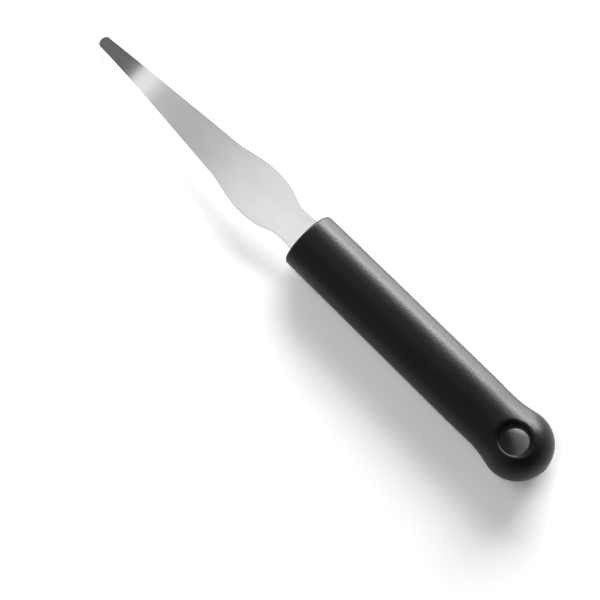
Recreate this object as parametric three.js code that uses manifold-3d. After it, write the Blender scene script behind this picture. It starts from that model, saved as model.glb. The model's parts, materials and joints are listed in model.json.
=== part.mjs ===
// Grapefruit knife: a stamped, double-edged steel blade with a bent tip, and a round moulded handle that
// ends in a ball with a hanging hole. Millimetres, +Z up. The knife lies flat, as it rests on a table, with
// its tip towards -X. The origin is on the table, under the middle of the knife's length.

import * as THREE from "three";
import { mergeVertices } from "three/addons/utils/BufferGeometryUtils.js";
import Module from "manifold-3d";

// Blade lengths, along the steel from the handle's front face to the tip
const NECK_LENGTH = 6; // front face to the narrowest point
const BELLY_RISE = 16.5; // narrowest point to the widest
const BELLY_FALL = 14; // widest point to the heel, where the cutting edges start
const EDGE_LENGTH = 64.8; // heel to the tip

// Blade widths and thickness
const MOUTH_WIDTH = 12.9; // where the steel leaves the handle
const NECK_WIDTH = 12.4;
const BELLY_WIDTH = 18.6;
const HEEL_WIDTH = 14.2;
const TIP_WIDTH = 4.6; // the tip is a half circle of this diameter
const STEEL_THICKNESS = 1.2;

// Shape of the outline: how far each end's tangent reaches along a flank of the belly, and its slope at the heel
const NECK_TANGENT = 0.4;
const BELLY_REAR_TANGENT = 0.65;
const BELLY_FRONT_TANGENT = 0.35;
const HEEL_TANGENT = 0.4;
const HEEL_SLOPE = 0.22;
const EDGE_HOLLOW = 0.6; // how far each cutting edge draws in towards the tip

// Bend of the tip, down towards the table
const BEND_RADIUS = 60;
const BEND_ANGLE = THREE.MathUtils.degToRad(24);
const TIP_STRAIGHT = 7; // straight steel past the bend

// Edges of the steel: ground from below and toothed from the heel to the tip, only broken elsewhere
const GRIND_WIDTH = 1.2; // of the bevel along each cutting edge, on the lower face
const GRIND_BREAK = 0.05; // corner taken off each cutting edge, on the upper face
const EDGE_THICKNESS = 0.15;
const EDGE_BREAK = 0.1;
const TOOTH_PITCH = 1.2;
const TOOTH_DEPTH = 0.15;

// Tang, the part of the blade inside the handle
const TANG_LENGTH = 62;
const TANG_WIDTH = 9;
const TANG_SHOULDER = 10; // depth at which the steel has narrowed to the tang
const TANG_HOLE_COUNT = 2;
const TANG_HOLE_DIAMETER = 5;
const TANG_CLEARANCE = 0.3; // between the steel and the plastic all round

// Handle
const HANDLE_LENGTH = 110;
const FRONT_DIAMETER = 20.8;
const GRIP_DIAMETER = 21.35; // where the grip is thickest
const WAIST_DIAMETER = 21.05; // just before the ball
const GRIP_TO_WAIST = 10;
const FRONT_EDGE_RADIUS = 1.5;
const BALL_SWELL = 1.6; // how far the ball stands out from the waist
const BALL_BLEND_RADIUS = 37; // hollow between the waist and the ball

// Hanging hole, square to the blade's faces
const HOLE_DIAMETER = 9.5; // at its middle
const HOLE_DRAFT = 0.4; // gain in radius from its middle to its rims
const HOLE_RIM_RADIUS = 2.3;
const HOLE_AHEAD_OF_BALL = 1.2; // towards the blade from the ball's centre

// Facets of the round forms
const HANDLE_SIDES = 48;
const HOLE_SIDES = 40;
const PEG_SIDES = 24;
const CURVE_STEPS = 8;
const ARC_STEPS = 4; // for half of an arc
const TIP_STEPS = 6;
const MERGE_DISTANCE = 1e-3;
const CUT_OVERRUN = 1; // how far a cutting tool passes the face that it opens

const neckAt = NECK_LENGTH;
const bellyAt = neckAt + BELLY_RISE;
const heelAt = bellyAt + BELLY_FALL;
const tipAt = heelAt + EDGE_LENGTH;
const bendAt = tipAt - TIP_STRAIGHT - BEND_RADIUS * BEND_ANGLE;
const ballRadius = WAIST_DIAMETER / 2 + BALL_SWELL;
const ballAt = HANDLE_LENGTH - ballRadius;
const holeAt = ballAt - HOLE_AHEAD_OF_BALL;

const steel = new THREE.MeshStandardMaterial({ color: 0xc9cbcc, roughness: 0.3, metalness: 1 });
const plastic = new THREE.MeshStandardMaterial({ color: 0x1d1d1e, roughness: 0.5, metalness: 0 });

const wasm = await Module();
wasm.setup();

// A closed geometry as a solid that can be cut
function solidOf(geometry) {
  const bare = geometry.clone();
  bare.deleteAttribute("normal");
  bare.deleteAttribute("uv");
  const merged = mergeVertices(bare, MERGE_DISTANCE);
  const mesh = new wasm.Mesh({
    numProp: 3,
    vertProperties: merged.attributes.position.array,
    triVerts: new Uint32Array(merged.index.array),
  });
  return new wasm.Manifold(mesh);
}

// A cut solid as a geometry again
function geometryOf(solid) {
  const mesh = solid.getMesh();
  const geometry = new THREE.BufferGeometry();
  geometry.setAttribute("position", new THREE.BufferAttribute(mesh.vertProperties, 3));
  geometry.setIndex(new THREE.BufferAttribute(mesh.triVerts, 1));
  geometry.computeVertexNormals();
  return geometry;
}

// A closed solid through rings of equal point counts, with a flat cap on each end
function loft(rings) {
  const count = rings[0].length;
  const last = (rings.length - 1) * count;
  const triangles = [];
  for (let start = 0; start < last; start += count) {
    for (let j = 0; j < count; j++) {
      const a = start + j;
      const b = start + ((j + 1) % count);
      triangles.push(a, b + count, b, a, a + count, b + count);
    }
  }
  for (let j = 1; j < count - 1; j++) {
    triangles.push(0, j, j + 1, last, last + j + 1, last + j);
  }
  const geometry = new THREE.BufferGeometry().setFromPoints(rings.flat());
  return geometry.setIndex(triangles);
}

// The place of a point of the steel: how far along it, across it, and above its middle plane
function onSteel(along, across, above) {
  if (along <= bendAt) return new THREE.Vector3(-along, across, above);
  const turned = Math.min((along - bendAt) / BEND_RADIUS, BEND_ANGLE);
  const straight = along - bendAt - BEND_RADIUS * turned;
  const radius = BEND_RADIUS + above;
  const x = bendAt + radius * Math.sin(turned) + straight * Math.cos(turned);
  const z = radius * Math.cos(turned) - BEND_RADIUS - straight * Math.sin(turned);
  return new THREE.Vector3(-x, across, z);
}

// Half the outline of the tang, from its end to the front face: x along the steel, y half the width
function tangOutline() {
  const outline = new THREE.Path();
  outline.moveTo(-TANG_LENGTH, TANG_WIDTH / 2);
  outline.lineTo(-TANG_SHOULDER, TANG_WIDTH / 2);
  outline.lineTo(0, MOUTH_WIDTH / 2);
  return outline.getPoints();
}

// Half the outline of the neck and belly, from the front face to the heel
function bellyOutline() {
  const mouth = MOUTH_WIDTH / 2;
  const neck = NECK_WIDTH / 2;
  const belly = BELLY_WIDTH / 2;
  const heel = HEEL_WIDTH / 2;
  const heelReach = HEEL_TANGENT * BELLY_FALL;
  const outline = new THREE.Path();
  outline.moveTo(0, mouth);
  outline.quadraticCurveTo(neckAt / 2, neck, neckAt, neck);
  outline.bezierCurveTo(
    neckAt + NECK_TANGENT * BELLY_RISE, neck,
    bellyAt - BELLY_REAR_TANGENT * BELLY_RISE, belly,
    bellyAt, belly,
  );
  outline.bezierCurveTo(
    bellyAt + BELLY_FRONT_TANGENT * BELLY_FALL, belly,
    heelAt - heelReach, heel + HEEL_SLOPE * heelReach,
    heelAt, heel,
  );
  return outline.getPoints(CURVE_STEPS);
}

// Half the outline of the toothed edge and the round tip, from the heel onwards
function edgeOutline() {
  const tipRadius = TIP_WIDTH / 2;
  const tipCentre = tipAt - tipRadius;
  const teeth = Math.round((tipCentre - heelAt) / TOOTH_PITCH);
  const start = new THREE.Vector2(heelAt, HEEL_WIDTH / 2);
  const end = new THREE.Vector2(tipCentre, tipRadius);
  const fromHeel = start.clone().lerp(end, 1 / 3);
  const fromTip = start.clone().lerp(end, 2 / 3);
  fromTip.y -= EDGE_HOLLOW;
  const points = new THREE.CubicBezierCurve(start, fromHeel, fromTip, end).getPoints(2 * teeth).slice(1, -1);
  for (let i = 0; i < points.length; i += 2) points[i].y -= TOOTH_DEPTH;
  for (let i = 0; i < TIP_STEPS; i++) {
    const angle = (i / TIP_STEPS) * (Math.PI / 2);
    const along = tipCentre + tipRadius * Math.sin(angle);
    points.push(new THREE.Vector2(along, tipRadius * Math.cos(angle)));
  }
  return points;
}

// The steel's section at a point of the outline: flat faces, and sides that are broken or ground
function steelRing({ x: along, y: half }) {
  const ground = THREE.MathUtils.clamp((along - heelAt) / TOOTH_PITCH, 0, 1);
  const corner = THREE.MathUtils.lerp(EDGE_BREAK, GRIND_BREAK, ground);
  const bevel = THREE.MathUtils.lerp(EDGE_BREAK, GRIND_WIDTH, ground);
  const upper = half - Math.min(corner, half / 2);
  const lower = half - Math.min(bevel, half / 2);
  const face = STEEL_THICKNESS / 2;
  const sideTop = face - corner;
  const sideBottom = THREE.MathUtils.lerp(EDGE_BREAK - face, sideTop - EDGE_THICKNESS, ground);
  return [
    onSteel(along, upper, face),
    onSteel(along, -upper, face),
    onSteel(along, -half, sideTop),
    onSteel(along, -half, sideBottom),
    onSteel(along, -lower, -face),
    onSteel(along, lower, -face),
    onSteel(along, half, sideBottom),
    onSteel(along, half, sideTop),
  ];
}

// Upright round bars through the tang's holes, evenly spaced along it
function tangBars(diameter) {
  const height = STEEL_THICKNESS + 2 * (TANG_CLEARANCE + CUT_OVERRUN);
  const pitch = (TANG_LENGTH - TANG_SHOULDER) / TANG_HOLE_COUNT;
  const bars = [];
  for (let i = 0; i < TANG_HOLE_COUNT; i++) {
    const bar = new THREE.CylinderGeometry(diameter / 2, diameter / 2, height, PEG_SIDES);
    bar.rotateX(Math.PI / 2);
    bar.translate(TANG_SHOULDER + (i + 0.5) * pitch, 0, 0);
    bars.push(solidOf(bar));
  }
  return bars;
}

function bladeGeometry() {
  const outline = [...tangOutline(), ...bellyOutline().slice(1), ...edgeOutline()];
  let blade = solidOf(loft(outline.map(steelRing)));
  for (const bar of tangBars(TANG_HOLE_DIAMETER)) blade = blade.subtract(bar);
  return geometryOf(blade);
}

// Turns a profile of radius against distance round the handle's axis, with a flat side underneath
function handleForm() {
  const front = FRONT_DIAMETER / 2;
  const grip = GRIP_DIAMETER / 2;
  const waist = WAIST_DIAMETER / 2;
  const blendReach = Math.sqrt((BALL_BLEND_RADIUS + ballRadius) ** 2 - (BALL_BLEND_RADIUS + waist) ** 2);
  const blendAngle = Math.atan2(BALL_BLEND_RADIUS + waist, -blendReach);
  const waistAt = ballAt - blendReach;
  const gripAt = waistAt - GRIP_TO_WAIST;
  const profile = new THREE.Path();
  profile.moveTo(0, 0);
  profile.lineTo(front - FRONT_EDGE_RADIUS, 0);
  profile.absarc(front - FRONT_EDGE_RADIUS, FRONT_EDGE_RADIUS, FRONT_EDGE_RADIUS, -Math.PI / 2, 0);
  profile.lineTo(grip, gripAt);
  profile.bezierCurveTo(grip, gripAt + GRIP_TO_WAIST / 3, waist, waistAt - GRIP_TO_WAIST / 3, waist, waistAt);
  const hollow = { x: waist + BALL_BLEND_RADIUS, y: waistAt };
  const meeting = blendAngle - Math.PI / 2;
  profile.absarc(hollow.x, hollow.y, BALL_BLEND_RADIUS, Math.PI, Math.PI - meeting, true);
  profile.absarc(0, ballAt, ballRadius, -meeting, Math.PI / 2);
  const form = new THREE.LatheGeometry(profile.getPoints(ARC_STEPS), HANDLE_SIDES, Math.PI / HANDLE_SIDES);
  return form.rotateZ(-Math.PI / 2);
}

// The tool that cuts the hanging hole: narrowest at its middle, with a rounded rim at each end
function holeTool() {
  const middle = HOLE_DIAMETER / 2;
  const wall = middle + HOLE_DRAFT;
  const rim = wall + HOLE_RIM_RADIUS;
  const rimStart = WAIST_DIAMETER / 2 - HOLE_RIM_RADIUS;
  const end = ballRadius + CUT_OVERRUN;
  const profile = new THREE.Path();
  profile.moveTo(0, -end);
  profile.lineTo(rim, -end);
  profile.lineTo(rim, -rimStart - HOLE_RIM_RADIUS);
  profile.absarc(rim, -rimStart, HOLE_RIM_RADIUS, -Math.PI / 2, -Math.PI, true);
  profile.lineTo(middle, 0);
  profile.lineTo(wall, rimStart);
  profile.absarc(rim, rimStart, HOLE_RIM_RADIUS, Math.PI, Math.PI / 2, true);
  profile.lineTo(rim, end);
  profile.lineTo(0, end);
  const tool = new THREE.LatheGeometry(profile.getPoints(ARC_STEPS), HOLE_SIDES);
  tool.rotateX(Math.PI / 2);
  return tool.translate(holeAt, 0, 0);
}

// The tool that cuts the socket: the tang's outline with its clearance, run out past the front face
function socketTool() {
  const face = STEEL_THICKNESS / 2 + TANG_CLEARANCE;
  const outline = tangOutline();
  outline[0].x -= TANG_CLEARANCE;
  outline.push(new THREE.Vector2(CUT_OVERRUN, MOUTH_WIDTH / 2));
  const rings = outline.map(({ x: along, y }) => {
    const half = y + TANG_CLEARANCE;
    return [
      onSteel(along, half, face),
      onSteel(along, -half, face),
      onSteel(along, -half, -face),
      onSteel(along, half, -face),
    ];
  });
  return loft(rings);
}

function handleGeometry() {
  let socket = solidOf(socketTool());
  for (const peg of tangBars(TANG_HOLE_DIAMETER - 2 * TANG_CLEARANCE)) socket = socket.subtract(peg);
  const handle = solidOf(handleForm()).subtract(solidOf(holeTool())).subtract(socket);
  return geometryOf(handle);
}

// How far the knife's axis slopes where the handle's front edge and its ball both touch the table
function restSlope(handle) {
  const underside = -(FRONT_DIAMETER / 2) * Math.cos(Math.PI / HANDLE_SIDES);
  const points = handle.getAttribute("position");
  let slope = -Infinity;
  for (let i = 0; i < points.count; i++) {
    const reach = points.getX(i) - FRONT_EDGE_RADIUS;
    const drop = underside - points.getZ(i);
    if (reach > HANDLE_LENGTH / 2) slope = Math.max(slope, Math.atan2(drop, reach));
  }
  return slope;
}

function namedMesh(name, geometry, material) {
  const mesh = new THREE.Mesh(geometry, material);
  mesh.name = name;
  return mesh;
}

const handle = handleGeometry();
const knife = new THREE.Group();
knife.add(namedMesh("blade", bladeGeometry(), steel));
knife.add(namedMesh("handle", handle, plastic));
knife.rotation.y = -restSlope(handle);

const box = new THREE.Box3().setFromObject(knife, true);
const middle = box.getCenter(new THREE.Vector3());
knife.position.set(-middle.x, -middle.y, -box.min.z);

const part = new THREE.Group();
part.add(knife);

export default part;
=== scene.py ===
"""Looks of the grapefruit knife: satin steel and textured black plastic, on a white floor."""

import json
import math

import bpy
import numpy as np
from mathutils import Matrix, Vector


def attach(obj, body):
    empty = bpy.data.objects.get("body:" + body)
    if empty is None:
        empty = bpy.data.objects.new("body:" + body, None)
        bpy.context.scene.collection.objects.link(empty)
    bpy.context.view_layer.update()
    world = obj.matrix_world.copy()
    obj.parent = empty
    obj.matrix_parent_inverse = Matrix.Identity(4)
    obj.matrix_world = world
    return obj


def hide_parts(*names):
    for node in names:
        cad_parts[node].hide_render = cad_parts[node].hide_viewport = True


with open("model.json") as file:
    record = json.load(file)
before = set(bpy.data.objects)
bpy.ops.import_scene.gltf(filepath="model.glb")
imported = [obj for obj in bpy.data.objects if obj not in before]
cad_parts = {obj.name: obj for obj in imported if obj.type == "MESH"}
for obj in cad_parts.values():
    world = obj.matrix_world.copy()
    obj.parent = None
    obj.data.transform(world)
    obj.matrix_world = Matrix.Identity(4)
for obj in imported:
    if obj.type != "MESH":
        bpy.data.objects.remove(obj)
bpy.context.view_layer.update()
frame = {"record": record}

MM = 0.001

# Sizes of the knife, in millimetres
# Blade lengths run along the steel, from the handle's front face to the tip.
NECK_LENGTH = 6
BELLY_RISE = 16.5
BELLY_FALL = 14
EDGE_LENGTH = 64.8
MOUTH_WIDTH = 12.9
NECK_WIDTH = 12.4
BELLY_WIDTH = 18.6
HEEL_WIDTH = 14.2
TIP_WIDTH = 4.6
STEEL_THICKNESS = 1.2
NECK_TANGENT = 0.4
BELLY_REAR_TANGENT = 0.65
BELLY_FRONT_TANGENT = 0.35
HEEL_TANGENT = 0.4
HEEL_SLOPE = 0.22
EDGE_HOLLOW = 0.6
BEND_RADIUS = 60
BEND_ANGLE = math.radians(24)
TIP_STRAIGHT = 7
GRIND_WIDTH = 1.2
GRIND_BREAK = 0.05
EDGE_THICKNESS = 0.15
TOOTH_PITCH = 1.2
TOOTH_DEPTH = 0.15
TANG_LENGTH = 62
TANG_WIDTH = 9
TANG_SHOULDER = 10
TANG_HOLE_COUNT = 2
TANG_HOLE_DIAMETER = 5
HANDLE_LENGTH = 110
FRONT_DIAMETER = 20.8
GRIP_DIAMETER = 21.35
WAIST_DIAMETER = 21.05
GRIP_TO_WAIST = 10
FRONT_EDGE_RADIUS = 1.5
BALL_SWELL = 1.6
BALL_BLEND_RADIUS = 37
HOLE_DIAMETER = 9.5
HOLE_DRAFT = 0.4
HOLE_AHEAD_OF_BALL = 1.2

# Fine details that only the looks have
EDGE_ROUND = 0.2  # of the steel where it is not ground
MOULD_CLEARANCE = 0.08  # plastic moulded onto the steel
MOUTH_RADIUS = 0.25  # edge of the plastic where the steel leaves it
SEAM_HEIGHT = 0.05  # parting line of the mould, in the blade's plane
SEAM_WIDTH = 0.16
RIM_WIDTH = 1.6  # bevel round the hole
RIM_NARROWING = 0.5  # of the bevel at the hole's sides, where the ball's surface falls away
RIM_SOFTNESS = 0.4  # of the bevel's edges
GATE_RADIUS = 1.1  # where the plastic entered the mould, on the end of the ball
GATE_HEIGHT = 0.15

# Fineness of the meshes
CURVE_STEPS = 28
STEPS_PER_TOOTH = 6
TIP_STEPS = 14
SIDE_STEPS = 4
HOLE_SIDES = 40
CELL = 0.45  # of the grid that the handle is meshed on
FINE_CELL = 0.15
GRID_MARGIN = 0.7
FIT_ROUNDS = 6  # that draw the handle's corners onto its surface
LEAST_STEEPNESS = 0.25  # that a round counts on, squared
SHARP_ANGLE = math.radians(8)  # between two faces of the blade that are shaded apart

NECK_AT = NECK_LENGTH
BELLY_AT = NECK_AT + BELLY_RISE
HEEL_AT = BELLY_AT + BELLY_FALL
TIP_AT = HEEL_AT + EDGE_LENGTH
BEND_AT = TIP_AT - TIP_STRAIGHT - BEND_RADIUS * BEND_ANGLE
BALL_RADIUS = WAIST_DIAMETER / 2 + BALL_SWELL
BALL_AT = HANDLE_LENGTH - BALL_RADIUS
HOLE_AT = BALL_AT - HOLE_AHEAD_OF_BALL


def knife_frame():
    """The knife's own frame: x back from the handle's front, y across the blade, z out of its upper face."""
    mount = next(m for m in frame["record"]["mounts"] if m["name"] == "blade_upper_flat")
    up = Vector(mount["axis"]).normalized()
    across = Vector((0, 1, 0))
    back = across.cross(up)
    front = Vector(mount["pos_m"]) + back * (BELLY_AT * MM) - up * (STEEL_THICKNESS / 2 * MM)
    return Matrix.Translation(front) @ Matrix((back, across, up)).transposed().to_4x4()


KNIFE = knife_frame()


def lerp(start, end, share):
    return start + (end - start) * share


def bezier(corners, steps):
    """Points of a Bezier curve after its first point, worked out by repeated lerps."""
    points = []
    for i in range(1, steps + 1):
        left = [Vector(c) for c in corners]
        while len(left) > 1:
            left = [a.lerp(b, i / steps) for a, b in zip(left, left[1:])]
        points.append(left[0])
    return points


# Blade

def tang_outline():
    """Half the outline of the tang, from its end to the front face: x along the steel, y half the width."""
    return [
        Vector((-TANG_LENGTH, TANG_WIDTH / 2)),
        Vector((-TANG_SHOULDER, TANG_WIDTH / 2)),
        Vector((0, MOUTH_WIDTH / 2)),
    ]


def belly_outline():
    """Half the outline of the neck and belly, from the front face to the heel."""
    neck = NECK_WIDTH / 2
    belly = BELLY_WIDTH / 2
    heel = HEEL_WIDTH / 2
    heel_reach = HEEL_TANGENT * BELLY_FALL
    curves = [
        [(0, MOUTH_WIDTH / 2), (NECK_AT / 2, neck), (NECK_AT, neck)],
        [
            (NECK_AT, neck),
            (NECK_AT + NECK_TANGENT * BELLY_RISE, neck),
            (BELLY_AT - BELLY_REAR_TANGENT * BELLY_RISE, belly),
            (BELLY_AT, belly),
        ],
        [
            (BELLY_AT, belly),
            (BELLY_AT + BELLY_FRONT_TANGENT * BELLY_FALL, belly),
            (HEEL_AT - heel_reach, heel + HEEL_SLOPE * heel_reach),
            (HEEL_AT, heel),
        ],
    ]
    return [point for curve in curves for point in bezier(curve, CURVE_STEPS)]


def edge_outline():
    """Half the outline of the cutting edge and the round tip, and the depth of the teeth at each point."""
    tip_radius = TIP_WIDTH / 2
    tip_centre = TIP_AT - tip_radius
    start = Vector((HEEL_AT, HEEL_WIDTH / 2))
    end = Vector((tip_centre, tip_radius))
    near_tip = start.lerp(end, 2 / 3) - Vector((0, EDGE_HOLLOW))
    teeth = round((tip_centre - HEEL_AT) / TOOTH_PITCH)
    points = bezier([start, start.lerp(end, 1 / 3), near_tip, end], teeth * STEPS_PER_TOOTH)
    gullets = []
    for i in range(1, len(points) + 1):
        phase = i / STEPS_PER_TOOTH % 1
        gullets.append(TOOTH_DEPTH * 4 * phase * (1 - phase))
    for i in range(1, TIP_STEPS):
        angle = i / TIP_STEPS * math.pi / 2
        points.append(Vector((tip_centre + tip_radius * math.sin(angle), tip_radius * math.cos(angle))))
        gullets.append(0)
    return points, gullets


def on_steel(along, across, above):
    """The place of a point of the steel, round the bend of the tip."""
    if along <= BEND_AT:
        return (-along, across, above)
    turned = min((along - BEND_AT) / BEND_RADIUS, BEND_ANGLE)
    straight = along - BEND_AT - BEND_RADIUS * turned
    radius = BEND_RADIUS + above
    x = BEND_AT + radius * math.sin(turned) + straight * math.cos(turned)
    z = radius * math.cos(turned) - BEND_RADIUS - straight * math.sin(turned)
    return (-x, across, z)


def steel_corner(half, gullet, ground, face, grind, edge):
    """One corner of the steel's section, from a face out to the edge: across, and above the middle plane."""
    grind = min(max(grind, gullet + GRIND_BREAK), half / 2)
    inwards = math.copysign(EDGE_ROUND, face)
    points = []
    for i in range(SIDE_STEPS + 1):
        share = i / SIDE_STEPS
        angle = share * math.pi / 2
        broken = Vector((EDGE_ROUND * (1 - math.sin(angle)), face - inwards * (1 - math.cos(angle))))
        sharp = Vector((grind * (1 - share) + gullet * share, lerp(face, edge, share)))
        inset, above = broken.lerp(sharp, ground)
        points.append((half - inset, above))
    return points


def steel_ring(along, half, gullet):
    """The steel's section at one place, as a closed ring."""
    ground = min(max((along - HEEL_AT) / TOOTH_PITCH, 0), 1)
    face = STEEL_THICKNESS / 2
    edge_top = face - GRIND_BREAK
    upper = steel_corner(half, gullet, ground, face, GRIND_BREAK, edge_top)
    lower = steel_corner(half, gullet, ground, -face, GRIND_WIDTH, edge_top - EDGE_THICKNESS)
    right = upper + lower[::-1]
    left = [(-across, above) for across, above in reversed(right)]
    return [on_steel(along, across, above) for across, above in right + left]


def blade_mesh():
    """The blade as rings joined by quads, with its ground edges as the second material."""
    points = tang_outline() + belly_outline()
    gullets = [0] * len(points)
    edge_points, edge_gullets = edge_outline()
    points += edge_points
    gullets += edge_gullets
    rings = [steel_ring(point.x, point.y, gullet) for point, gullet in zip(points, gullets)]
    count = len(rings[0])
    quarter = SIDE_STEPS + 1
    corners = [corner for ring in rings for corner in ring]
    faces = []
    on_edge = []
    for i in range(len(rings) - 1):
        ground = points[i].x >= HEEL_AT
        for j in range(count):
            a = i * count + j
            b = i * count + (j + 1) % count
            faces.append((a, b, b + count, a + count))
            side = j % (2 * quarter) != 2 * quarter - 1
            on_edge.append(int(ground and side))
    faces.append(tuple(reversed(range(count))))
    faces.append(tuple(range(len(corners) - count, len(corners))))
    on_edge += [0, 0]
    mesh = bpy.data.meshes.new("blade")
    mesh.from_pydata([Vector(corner) * MM for corner in corners], [], faces)
    mesh.polygons.foreach_set("material_index", on_edge)
    return mesh


def tang_hole_places():
    pitch = (TANG_LENGTH - TANG_SHOULDER) / TANG_HOLE_COUNT
    return [TANG_SHOULDER + (i + 0.5) * pitch for i in range(TANG_HOLE_COUNT)]


def drill_tang(blade):
    """Cuts the round holes that lock the tang in the plastic."""
    cutters = []
    for place in tang_hole_places():
        bpy.ops.mesh.primitive_cylinder_add(
            vertices=HOLE_SIDES,
            radius=TANG_HOLE_DIAMETER / 2 * MM,
            depth=3 * STEEL_THICKNESS * MM,
            location=(place * MM, 0, 0),
        )
        cutter = bpy.context.object
        cut = blade.modifiers.new("tang_hole", "BOOLEAN")
        cut.object = cutter
        cut.solver = "EXACT"
        cutters.append(cutter)
    shown = blade.evaluated_get(bpy.context.evaluated_depsgraph_get())
    drilled = bpy.data.meshes.new_from_object(shown)
    blade.modifiers.clear()
    blade.data = drilled
    for cutter in cutters:
        bpy.data.objects.remove(cutter)


# Handle

def rounded_overlap(a, b, radius):
    """The field of what is inside both fields, with their meeting edge rounded."""
    a = a + radius
    b = b + radius
    corner = np.hypot(np.maximum(a, 0), np.maximum(b, 0))
    return corner + np.minimum(np.maximum(a, b), 0) - radius


def turned_form(x, r):
    """The handle without its hole and socket: a tapered bar with a slight waist, a hollow and a ball."""
    grip = GRIP_DIAMETER / 2
    waist = WAIST_DIAMETER / 2
    hollow = BALL_BLEND_RADIUS
    reach = math.sqrt((hollow + BALL_RADIUS) ** 2 - (hollow + waist) ** 2)
    waist_at = BALL_AT - reach
    grip_at = waist_at - GRIP_TO_WAIST
    meeting_at = BALL_AT - reach * BALL_RADIUS / (BALL_RADIUS + hollow)
    taper = np.interp(x, [FRONT_EDGE_RADIUS, grip_at], [FRONT_DIAMETER / 2, grip])
    past_grip = np.clip((x - grip_at) / GRIP_TO_WAIST, 0, 1)
    drawn_in = (grip - waist) * past_grip**2 * (3 - 2 * past_grip)
    into_hollow = np.clip(x - waist_at, 0, reach)
    bar_radius = taper - drawn_in + hollow - np.sqrt(hollow**2 - into_hollow**2)
    bar = rounded_overlap(r - bar_radius, -x, FRONT_EDGE_RADIUS)
    ball = np.hypot(x - BALL_AT, r) - BALL_RADIUS
    return np.where(x < meeting_at, bar, ball)


def socket_form(x, y, z):
    """The socket that the tang fills, less the pegs through the tang's holes."""
    half_width = np.interp(x, [0, TANG_SHOULDER], [MOUTH_WIDTH / 2, TANG_WIDTH / 2])
    beside = np.abs(y) - half_width - MOULD_CLEARANCE
    above = np.abs(z) - STEEL_THICKNESS / 2 - MOULD_CLEARANCE
    beyond = x - TANG_LENGTH - MOULD_CLEARANCE
    socket = np.maximum(np.maximum(beside, above), beyond)
    for place in tang_hole_places():
        peg = np.hypot(x - place, y) - TANG_HOLE_DIAMETER / 2 + MOULD_CLEARANCE
        socket = np.maximum(socket, -peg)
    return socket


def handle_field(points):
    """Below zero inside the plastic, zero on its surface."""
    x, y, z = np.moveaxis(points, -1, 0)
    r = np.hypot(y, z)
    seam = SEAM_HEIGHT * np.exp(-((z / SEAM_WIDTH) ** 2))
    gate = GATE_HEIGHT * np.exp(-((r / GATE_RADIUS) ** 4)) * (x > BALL_AT)
    outside = turned_form(x, r) - seam - gate
    hole_radius = HOLE_DIAMETER / 2 + HOLE_DRAFT * (z / (WAIST_DIAMETER / 2)) ** 2
    from_hole = np.hypot(x - HOLE_AT, y)
    sideways = (y / np.maximum(from_hole, FINE_CELL)) ** 2
    rim_width = RIM_WIDTH * (1 - RIM_NARROWING * sideways)
    bore = hole_radius - from_hole
    bevel = (outside + bore + rim_width) / math.sqrt(2)
    holed = rounded_overlap(np.maximum(outside, bore), bevel, RIM_SOFTNESS)
    return rounded_overlap(holed, -socket_form(x, y, z), MOUTH_RADIUS)


def slopes(field, points, step=1e-3):
    """The field's gradient at each point."""
    gradient = np.empty_like(points)
    for axis in range(3):
        nudge = np.zeros(3)
        nudge[axis] = step
        gradient[..., axis] = (field(points + nudge) - field(points - nudge)) / (2 * step)
    return gradient


def surface_net(field, axes):
    """Corners and quads of the surface where a field is zero: one corner in each cell that it crosses."""
    grid = np.stack(np.meshgrid(*axes, indexing="ij"), axis=-1)
    values = field(grid)
    cells = np.array(values.shape) - 1
    total = np.zeros((*cells, 3))
    crossings = np.zeros(cells)
    edges = []
    for axis in range(3):
        first = [slice(None)] * 3
        second = [slice(None)] * 3
        first[axis] = slice(None, -1)
        second[axis] = slice(1, None)
        start = values[tuple(first)]
        end = values[tuple(second)]
        crossed = (start < 0) != (end < 0)
        share = np.where(crossed, start / np.where(crossed, start - end, 1), 0)[..., None]
        place = lerp(grid[tuple(first)], grid[tuple(second)], share) * crossed[..., None]
        side_a = (axis + 1) % 3
        side_b = (axis + 2) % 3
        for step_a in (0, 1):
            for step_b in (0, 1):
                around = [slice(None)] * 3
                around[side_a] = slice(step_a, step_a + cells[side_a])
                around[side_b] = slice(step_b, step_b + cells[side_b])
                total += place[tuple(around)]
                crossings += crossed[tuple(around)]
        edges.append((crossed, start < 0, side_a, side_b))
    used = crossings > 0
    number = np.full(cells, -1)
    number[used] = np.arange(used.sum())
    corners = total[used] / crossings[used][:, None]
    quads = []
    for crossed, leaving, side_a, side_b in edges:
        at = np.argwhere(crossed)
        ring = []
        for step_a, step_b in ((1, 1), (0, 1), (0, 0), (1, 0)):
            cell = at.copy()
            cell[:, side_a] -= step_a
            cell[:, side_b] -= step_b
            ring.append(number[tuple(cell.T)])
        quad = np.stack(ring, axis=1)
        outwards = leaving[crossed][:, None]
        quads.append(np.where(outwards, quad, quad[:, ::-1]))
    return corners, np.concatenate(quads)


def graded(low, high, fine_low, fine_high):
    """Grid lines from low to high, closer together between fine_low and fine_high."""
    return np.concatenate([
        np.arange(low, fine_low, CELL),
        np.arange(fine_low, fine_high, FINE_CELL),
        np.arange(fine_high, high + CELL, CELL),
    ])


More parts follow.
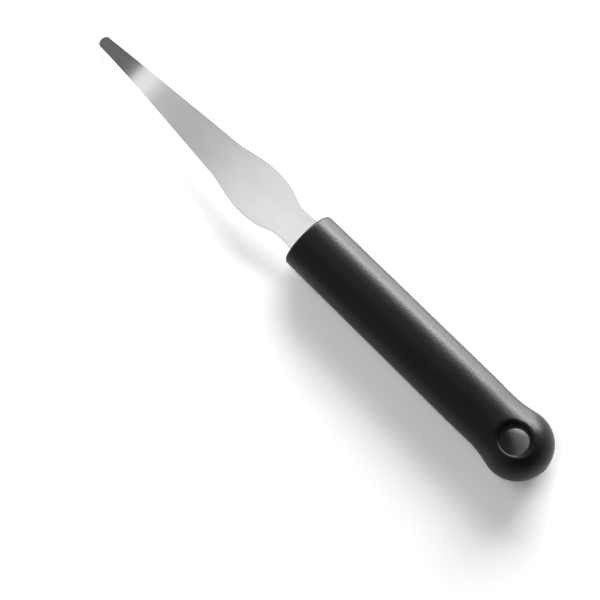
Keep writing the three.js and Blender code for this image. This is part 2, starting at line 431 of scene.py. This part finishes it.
def handle_mesh():
    """The handle's surface, drawn onto its field and shaded by the field's own slope."""
    wide = BALL_RADIUS + GRID_MARGIN
    mouth = STEEL_THICKNESS / 2 + MOULD_CLEARANCE + 2 * MOUTH_RADIUS
    axes = [
        graded(-GRID_MARGIN, HANDLE_LENGTH + GRID_MARGIN, -GRID_MARGIN, 2 * FRONT_EDGE_RADIUS),
        np.linspace(-wide, wide, 2 * round(wide / CELL)),
        graded(-wide, wide, -mouth, mouth),
    ]
    corners, quads = surface_net(handle_field, axes)
    for _ in range(FIT_ROUNDS):
        gradient = slopes(handle_field, corners)
        steep = np.maximum((gradient**2).sum(axis=1), LEAST_STEEPNESS)
        move = handle_field(corners) / steep
        corners = corners - np.clip(move, -CELL, CELL)[:, None] * gradient
    mesh = bpy.data.meshes.new("handle")
    mesh.from_pydata((corners * MM).tolist(), [], quads.tolist())
    gradient = slopes(handle_field, corners)
    normals = gradient / np.linalg.norm(gradient, axis=1, keepdims=True)
    mesh.polygons.foreach_set("use_smooth", [True] * len(mesh.polygons))
    mesh.normals_split_custom_set_from_vertices(normals.tolist())
    return mesh


# Materials

NOISE_LOW = 0.3  # most noise lies between these
NOISE_HIGH = 0.7
FLOOR_LIFT = 1.5  # of the floor's white, to the camera and in reflections


def new_material(name):
    made = bpy.data.materials.new(name)
    made.use_nodes = True
    return made, made.node_tree, made.node_tree.nodes["Principled BSDF"]


def noise(tree, per_metre, detail=2.0):
    """Noise in the piece's own frame, with that many features to the metre along x, y and z."""
    place = tree.nodes.new("ShaderNodeTexCoord")
    stretch = tree.nodes.new("ShaderNodeMapping")
    stretch.inputs["Scale"].default_value = per_metre
    texture = tree.nodes.new("ShaderNodeTexNoise")
    texture.inputs["Scale"].default_value = 1.0
    texture.inputs["Detail"].default_value = detail
    tree.links.new(place.outputs["Object"], stretch.inputs["Vector"])
    tree.links.new(stretch.outputs["Vector"], texture.inputs["Vector"])
    return texture.outputs["Fac"]


def ramp(tree, value, start, end, low, high):
    """A value carried from one range to another."""
    ranged = tree.nodes.new("ShaderNodeMapRange")
    ranged.inputs["From Min"].default_value = start
    ranged.inputs["From Max"].default_value = end
    ranged.inputs["To Min"].default_value = low
    ranged.inputs["To Max"].default_value = high
    tree.links.new(value, ranged.inputs["Value"])
    return ranged.outputs["Result"]


def combine(tree, operation, a, b):
    """One value from two."""
    worked = tree.nodes.new("ShaderNodeMath")
    worked.operation = operation
    tree.links.new(a, worked.inputs[0])
    tree.links.new(b, worked.inputs[1])
    return worked.outputs["Value"]


def spread(tree, fac, low, high):
    """Noise carried to a range of values."""
    return ramp(tree, fac, NOISE_LOW, NOISE_HIGH, low, high)


def tint(tree, fac, dark, light):
    """Noise carried to a range of colours."""
    mixed = tree.nodes.new("ShaderNodeMix")
    mixed.data_type = "RGBA"
    mixed.inputs["A"].default_value = (*dark, 1)
    mixed.inputs["B"].default_value = (*light, 1)
    tree.links.new(spread(tree, fac, low=0, high=1), mixed.inputs["Factor"])
    return mixed.outputs["Result"]


def bump(tree, height, depth_mm, strength, under=None):
    """Fine relief from noise, on top of another relief if there is one."""
    relief = tree.nodes.new("ShaderNodeBump")
    relief.inputs["Strength"].default_value = strength
    relief.inputs["Distance"].default_value = depth_mm * MM
    tree.links.new(height, relief.inputs["Height"])
    if under:
        tree.links.new(under, relief.inputs["Normal"])
    return relief.outputs["Normal"]


def steel_material():
    """Satin stainless steel, with a faint grain along the blade and soft clouds from handling."""
    made, tree, shader = new_material("satin_steel")
    grain = noise(tree, per_metre=(60, 6000, 6000))
    clouds = noise(tree, per_metre=(70, 110, 110), detail=4.0)
    shader.inputs["Metallic"].default_value = 1
    colour = tint(tree, clouds, dark=(0.60, 0.605, 0.61), light=(0.64, 0.645, 0.65))
    tree.links.new(colour, shader.inputs["Base Color"])
    tree.links.new(spread(tree, grain, low=0.19, high=0.215), shader.inputs["Roughness"])
    tree.links.new(bump(tree, grain, depth_mm=0.002, strength=0.08), shader.inputs["Normal"])
    return made


def ground_material():
    """The ground edges: brighter, finer steel with grinding lines across the edge."""
    made, tree, shader = new_material("ground_steel")
    lines = noise(tree, per_metre=(7000, 120, 120))
    shader.inputs["Metallic"].default_value = 1
    colour = tint(tree, lines, dark=(0.52, 0.525, 0.53), light=(0.62, 0.625, 0.63))
    tree.links.new(colour, shader.inputs["Base Color"])
    tree.links.new(spread(tree, lines, low=0.14, high=0.2), shader.inputs["Roughness"])
    tree.links.new(bump(tree, lines, depth_mm=0.004, strength=0.2), shader.inputs["Normal"])
    return made


def plastic_material():
    """Black moulded plastic with a fine spark-eroded texture and slight polish from handling."""
    made, tree, shader = new_material("black_plastic")
    texture = noise(tree, per_metre=(2600, 2600, 2600), detail=3.0)
    grain = noise(tree, per_metre=(1300, 1300, 1300), detail=3.0)
    wear = noise(tree, per_metre=(60, 90, 90), detail=3.0)
    shader.inputs["Specular IOR Level"].default_value = 0.15
    colour = tint(tree, wear, dark=(0.0052, 0.0052, 0.0054), light=(0.0064, 0.0064, 0.0066))
    tree.links.new(colour, shader.inputs["Base Color"])
    tree.links.new(spread(tree, wear, low=0.37, high=0.42), shader.inputs["Roughness"])
    pebbles = bump(tree, grain, depth_mm=0.07, strength=1)
    relief = bump(tree, texture, depth_mm=0.03, strength=0.35, under=pebbles)
    tree.links.new(relief, shader.inputs["Normal"])
    return made


def floor_material():
    """Pale floor that looks white without more light on the knife, and keeps the knife's shadow."""
    made, tree, shader = new_material("white_floor")
    mottle = noise(tree, per_metre=(30, 30, 30), detail=3.0)
    path = tree.nodes.new("ShaderNodeLightPath")
    looked_at = combine(tree, "MAXIMUM", path.outputs["Is Camera Ray"], path.outputs["Is Glossy Ray"])
    shade = spread(tree, mottle, low=0.89, high=0.91)
    lift = ramp(tree, looked_at, 0, 1, 1, FLOOR_LIFT)
    tree.links.new(combine(tree, "MULTIPLY", shade, lift), shader.inputs["Base Color"])
    shader.inputs["Roughness"].default_value = 0.6
    shader.inputs["Specular IOR Level"].default_value = 0.3
    return made


def add_piece(name, mesh, materials):
    piece = bpy.data.objects.new(name, mesh)
    bpy.context.scene.collection.objects.link(piece)
    for material in materials:
        mesh.materials.append(material)
    return piece


def place_piece(piece, node):
    """Carries a piece from the knife's frame to the shared one, in place of a CAD node."""
    piece.data.transform(KNIFE)
    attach(piece, "root")
    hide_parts(node)


blade = add_piece("blade_finish", blade_mesh(), [steel_material(), ground_material()])
drill_tang(blade)
blade.data.polygons.foreach_set("use_smooth", [True] * len(blade.data.polygons))
blade.data.set_sharp_from_angle(angle=SHARP_ANGLE)
place_piece(blade, "blade")

handle = add_piece("handle_finish", handle_mesh(), [plastic_material()])
place_piece(handle, "handle")


# Stage

FLOOR_SIZE = 6.0


def add_floor():
    half = FLOOR_SIZE / 2
    mesh = bpy.data.meshes.new("floor")
    corners = [(-half, -half, 0), (half, -half, 0), (half, half, 0), (-half, half, 0)]
    mesh.from_pydata(corners, [], [(0, 1, 2, 3)])
    mesh.materials.append(floor_material())
    floor = bpy.data.objects.new("floor", mesh)
    bpy.context.scene.collection.objects.link(floor)


def direction(from_side, elevation):
    """A unit vector towards a lamp: degrees round from +Y towards the tip, and degrees above the floor."""
    turn = math.radians(from_side)
    rise = math.radians(elevation)
    flat = math.cos(rise)
    return Vector((-math.sin(turn) * flat, math.cos(turn) * flat, math.sin(rise)))


def add_lamp(name, towards, distance, width, height, watts):
    """A rectangular soft lamp that faces the knife."""
    lamp = bpy.data.lights.new(name, "AREA")
    lamp.shape = "RECTANGLE"
    lamp.size = width
    lamp.size_y = height
    lamp.energy = watts
    placed = bpy.data.objects.new(name, lamp)
    placed.location = towards * distance
    placed.rotation_euler = towards.to_track_quat("Z", "Y").to_euler()
    placed.visible_camera = False
    bpy.context.scene.collection.objects.link(placed)
    return placed


def shine_only_on(lamp, piece):
    """Keeps a lamp's light to one piece."""
    lit = bpy.data.collections.new(lamp.name)
    lit.objects.link(piece)
    lamp.light_linking.receiver_collection = lit


# Levels of the room, and the +X part of the directions where they change
ROOM_BEYOND_TIP = 0.195
ROOM_BEYOND_HANDLE = 0.04
ROOM_FROM = -0.9
ROOM_TO = 0.6
BACKDROP_BEYOND_HANDLE = 0.15
BACKDROP_FROM = -0.2
BACKDROP_TO = 0.8
WHITE_BELOW = math.radians(4)  # above the horizon
ROOM_ABOVE = math.radians(9)


def add_world():
    """White all round along the floor's horizon, and above it a dim room, dimmer beyond the handle."""
    world = bpy.data.worlds.new("studio")
    bpy.context.scene.world = world
    world.use_nodes = True
    tree = world.node_tree
    place = tree.nodes.new("ShaderNodeTexCoord")
    parts = tree.nodes.new("ShaderNodeSeparateXYZ")
    tree.links.new(place.outputs["Generated"], parts.inputs["Vector"])
    along = parts.outputs["X"]
    room = ramp(tree, along, ROOM_FROM, ROOM_TO, ROOM_BEYOND_TIP, ROOM_BEYOND_HANDLE)
    backdrop_level = ramp(tree, along, BACKDROP_FROM, BACKDROP_TO, 1, BACKDROP_BEYOND_HANDLE)
    low = ramp(tree, parts.outputs["Z"], math.sin(WHITE_BELOW), math.sin(ROOM_ABOVE), 1, 0)
    horizon = combine(tree, "MULTIPLY", low, backdrop_level)
    backdrop = tree.nodes["Background"]
    backdrop.inputs["Color"].default_value = (1, 1, 1, 1)
    tree.links.new(combine(tree, "MAXIMUM", room, horizon), backdrop.inputs["Strength"])


CEILING_HEIGHT = 0.5


def add_ceiling(name, start, end, width, watts):
    """A level soft lamp over the knife, from one distance along it to another."""
    lamp = add_lamp(name, Vector((0, 0, 1)), CEILING_HEIGHT, end - start, width, watts)
    lamp.location.x = (start + end) / 2
    lamp.visible_diffuse = False


STRIP_AT = -0.275  # along the knife, beyond its tip
LIT_FLOOR_AT = (-0.0225, 0.152, 0.001)  # just over the floor, on the strip's side
SCREEN_SIDES = (0, 45, 135, 225, 270, 315)

add_floor()

# Light for the floor and its shadows
key = add_lamp("key", direction(25, 26.7), distance=0.62, width=0.6, height=0.44, watts=7.3)
key.visible_glossy = False
fill = add_lamp("fill", direction(140, 69), distance=1.5, width=1.4, height=0.84, watts=7.9)
fill.visible_glossy = False

# What the plastic mirrors
strip = add_lamp("side_strip", direction(0, 6.5), distance=0.75, width=0.95, height=0.17, watts=33.5)
strip.location.x = STRIP_AT
strip.visible_diffuse = False
shine_only_on(strip, handle)
panel = add_lamp("side_panel", direction(180, 34), distance=0.9, width=0.9, height=0.75, watts=1.3)
panel.visible_diffuse = False
lit_floor = add_lamp("lit_floor", Vector((0, 0, -1)), distance=0, width=0.215, height=0.25, watts=1.4)
lit_floor.location = LIT_FLOOR_AT
lit_floor.visible_diffuse = False

# What the steel mirrors: ceilings from above, and dim screens from all sides but the tip's and the panel's
add_ceiling("ceiling_over_handle", start=-0.156, end=-0.02, width=0.18, watts=0.102)
add_ceiling("ceiling_between", start=-0.290, end=-0.19, width=0.3, watts=0.0735)
add_ceiling("ceiling_over_tip", start=-0.478, end=-0.290, width=0.3, watts=0.204)
for side in SCREEN_SIDES:
    screen = add_lamp("steel_screen", direction(side, 32), distance=0.9, width=0.745, height=0.75, watts=0.95)
    shine_only_on(screen, blade)

add_world()


# Camera, straight above the knife but for a small tilt towards the handle's end and a smaller one to -Y

CAMERA_DISTANCE = 0.836
CAMERA_TILT = math.radians(8.9)
CAMERA_LEAN = math.radians(2)
PICTURE_TURN = math.radians(44.55)  # of the knife's axis in the picture
PICTURE_SIZE = 600
FOCAL_LENGTH = 2524.5  # in pixels of the picture
AIM = Vector((13.35, -16.22, 0)) * MM  # in the knife's frame
SENSOR = 36
NEAREST = 0.01


def add_camera():
    camera = bpy.data.cameras.new("camera")
    camera.sensor_width = SENSOR
    camera.lens = FOCAL_LENGTH * SENSOR / PICTURE_SIZE
    camera.clip_start = NEAREST
    placed = bpy.data.objects.new("camera", camera)
    bpy.context.scene.collection.objects.link(placed)
    level = math.cos(CAMERA_LEAN)
    back = Vector((math.sin(CAMERA_TILT) * level, -math.sin(CAMERA_LEAN), math.cos(CAMERA_TILT) * level))
    axis = Vector((1, 0, 0))
    along = (axis - back * axis.dot(back)).normalized()
    across = back.cross(along)
    right = along * math.cos(PICTURE_TURN) + across * math.sin(PICTURE_TURN)
    up = across * math.cos(PICTURE_TURN) - along * math.sin(PICTURE_TURN)
    turn = Matrix((right, up, back)).transposed().to_4x4()
    placed.matrix_world = Matrix.Translation(KNIFE @ AIM + back * CAMERA_DISTANCE) @ turn
    bpy.context.scene.camera = placed


add_camera()
bpy.context.scene.view_settings.view_transform = "Standard"
